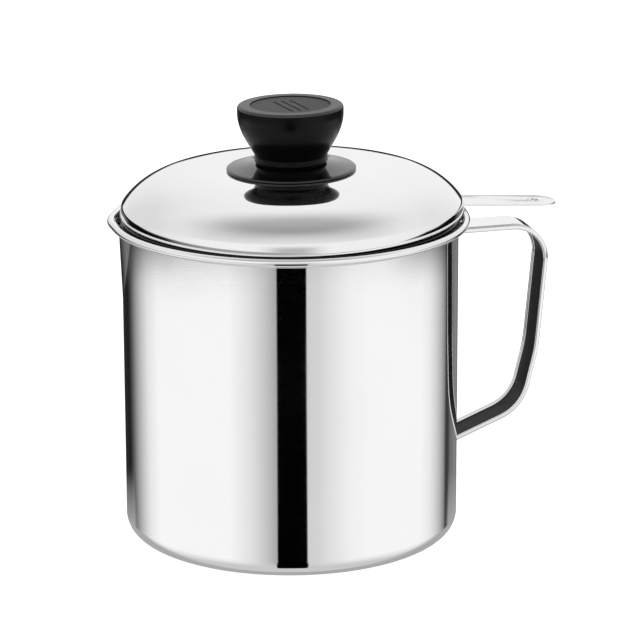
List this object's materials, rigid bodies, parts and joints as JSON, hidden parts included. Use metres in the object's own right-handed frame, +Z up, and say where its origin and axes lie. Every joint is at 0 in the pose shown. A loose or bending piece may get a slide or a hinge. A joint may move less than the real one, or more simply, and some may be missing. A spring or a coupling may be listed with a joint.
{
  "type": "grease container",
  "caption": "Round steel grease can with a pouring lip and strap handle, a lift-out mesh strainer with a flat handle, and a domed lid with a moulded knob.",
  "frame": {"origin": "centre of the base's underside, on the can's axis", "axes": "+Z up along the can's axis; the strap handle and the strainer's handle point along +X; the pouring lip points along -X, turned 11 degrees towards +Y"},
  "size_m": [0.164, 0.129, 0.1578],
  "materials": {
    "can_steel": "mirror-polished stainless sheet, 0.5 mm",
    "lid_steel": "mirror-polished stainless sheet, 0.6 mm",
    "handle_steel": "polished stainless strap with turned-in edges",
    "strainer_steel": "polished stainless sheet",
    "strip_steel": "satin stainless strip",
    "mesh_steel": "fine woven stainless wire",
    "guard_plastic": "glossy moulded phenolic",
    "grip_plastic": "satin moulded phenolic",
    "cap_plastic": "satin inlaid cap",
    "insert_brass": "turned brass",
    "screw_steel": "plain zinc-coloured steel"
  },
  "bodies": {
    "can": {"can_shell": "can_steel", "strap_handle": "handle_steel"},
    "strainer": {"strainer_rim": "strainer_steel", "strainer_mesh": "mesh_steel", "mesh_ring": "strainer_steel", "strainer_handle": "strip_steel"},
    "lid": {"lid_shell": "lid_steel", "knob_guard": "guard_plastic", "knob_grip": "grip_plastic", "knob_cap": "cap_plastic", "knob_insert": "insert_brass", "lid_screw": "screw_steel", "screw_washer": "screw_steel"}
  },
  "joints": [
    {"name": "strainer_lift", "type": "slide", "parent": "can", "child": "strainer", "axis": [0, 0, 1], "range_m": [0, 0.06]},
    {"name": "lid_lift", "type": "slide", "parent": "strainer", "child": "lid", "axis": [0, 0, 1], "range_m": [0, 0.05]}
  ]
}
